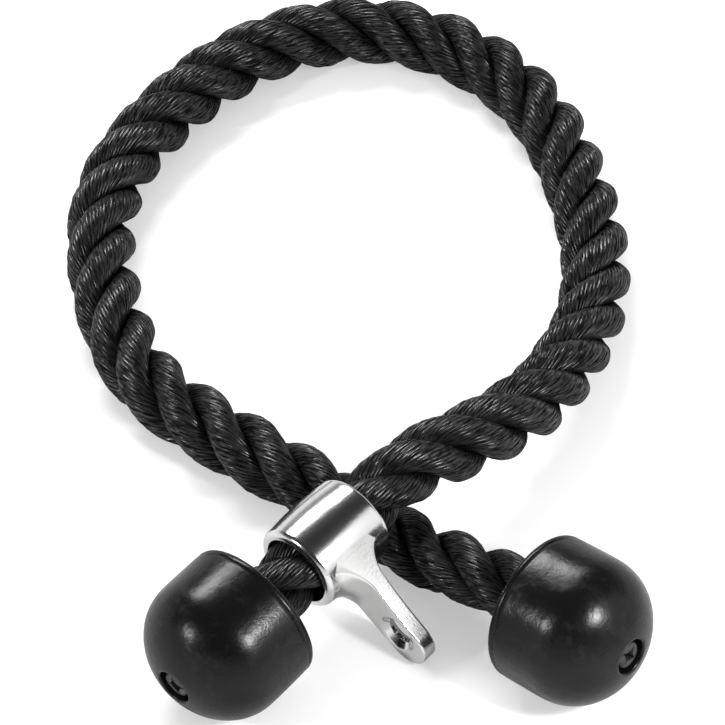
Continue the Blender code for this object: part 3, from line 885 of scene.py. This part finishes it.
# The studio: a pale floor, a white surround that darkens overhead, one long softbox and three round lamps
lamps = dict(
    back=dict(place=(0.622, 1.081, 1.171), shape="RECTANGLE", size=(0.95, 0.36), power=24),
    right=dict(place=(0.050, -0.330, 0.320), shape="ELLIPSE", size=(0.06, 0.06), power=1.3),
    rightSoft=dict(place=(0.170, -0.950, 0.860), shape="ELLIPSE", size=(0.34, 0.34), power=4),
    left=dict(place=(-1.710, 0.830, 1.140), shape="ELLIPSE", size=(0.20, 0.20), power=17),
)
lampTarget = (0.0, 0.0, 0.03)


def makeLamps(s):
    for name, lamp in s.items():
        data = bpy.data.lights.new(name + "Lamp", "AREA")
        data.shape, data.energy = lamp["shape"], lamp["power"]
        data.size, data.size_y = lamp["size"]
        made = addObject(name + "Lamp", data)
        aimAt(made, lamp["place"], lampTarget)
        made.visible_camera = False


floorSet = dict(
    half=12.0, drop=0.0001,
    plain=0.80,  # for the light that it throws back
    tones=(0.56, 0.66), glows=(0.10, 1.0), glowStrength=0.38,  # in what mirrors it, and to the camera
)


def makeFloor(s):
    half, down = s["half"], -s["drop"]
    corners = np.array([[-half, -half, down], [half, -half, down], [half, half, down], [-half, half, down]])
    floor = addMesh("floor", corners, [np.array([[0, 1, 2, 3]])], outward=False)
    paint = Paint("paleFloor")
    camera = paint.add("LightPath", None, None, "Is Camera Ray")
    glossy = paint.add("LightPath", None, None, "Is Glossy Ray")
    through = paint.add("LightPath", None, None, "Is Transmission Ray")
    seen, direct = camera.either(glossy).either(through), camera.either(through)
    plainShader = paint.add("BsdfDiffuse", None, {"Color": (*grey(s["plain"]), 1)})
    soft = paint.add("BsdfDiffuse", None, {"Color": paint.mix(direct, *map(grey, s["tones"]))})
    glowColor = paint.mix(direct, *map(grey, s["glows"]))
    glow = paint.add("Emission", None, {"Color": glowColor, "Strength": s["glowStrength"]})
    bright = paint.add("AddShader", None, {0: soft, 1: glow})
    cover(floor, paint.finish(paint.add("MixShader", None, {0: seen, 1: plainShader, 2: bright})))


surroundSet = dict(
    panel=(0.47, -0.81, 0.34),  # the direction of a bright patch in the dark part
    panelEdge=(0.85, 0.90),  # the cosines of the angles from it where the patch starts and is full
    darkening=(0.02, 0.42),  # how steep a mirrored direction is where the dark starts and is full
    bright=grey(0.95), overhead=(0.016, 0.016, 0.017),
    soft=grey(0.55), seen=grey(1.0), strength=1.0,
)


def makeWorld(s):
    # White to the camera, even grey as soft light, and for what mirrors it bright below and dark overhead
    paint = Paint("studioSurround", world=True)
    direction = paint.add("TexCoord", None, None, "Generated")
    up = paint.add("SeparateXYZ", None, {0: direction}, "Z")
    camera = paint.add("LightPath", None, None, "Is Camera Ray")
    glossy = paint.add("LightPath", None, None, "Is Glossy Ray")
    aim = Vector(s["panel"]).normalized()
    toward = paint.add("VectorMath", dict(operation="DOT_PRODUCT"), {0: direction, 1: tuple(aim)}, "Value")
    overhead = up.between(*s["darkening"]) * (1 - toward.between(*s["panelEdge"]))
    mirrored = paint.mix(overhead, s["bright"], s["overhead"])
    color = paint.mix(camera, paint.mix(glossy, s["soft"], mirrored), s["seen"])
    shader = paint.add("Background", None, {"Color": color, "Strength": s["strength"]})
    bpy.context.scene.world = paint.finish(shader)


makeLamps(lamps)
makeFloor(floorSet)
makeWorld(surroundSet)
bpy.context.scene.view_settings.view_transform = "Standard"
print("studio done")
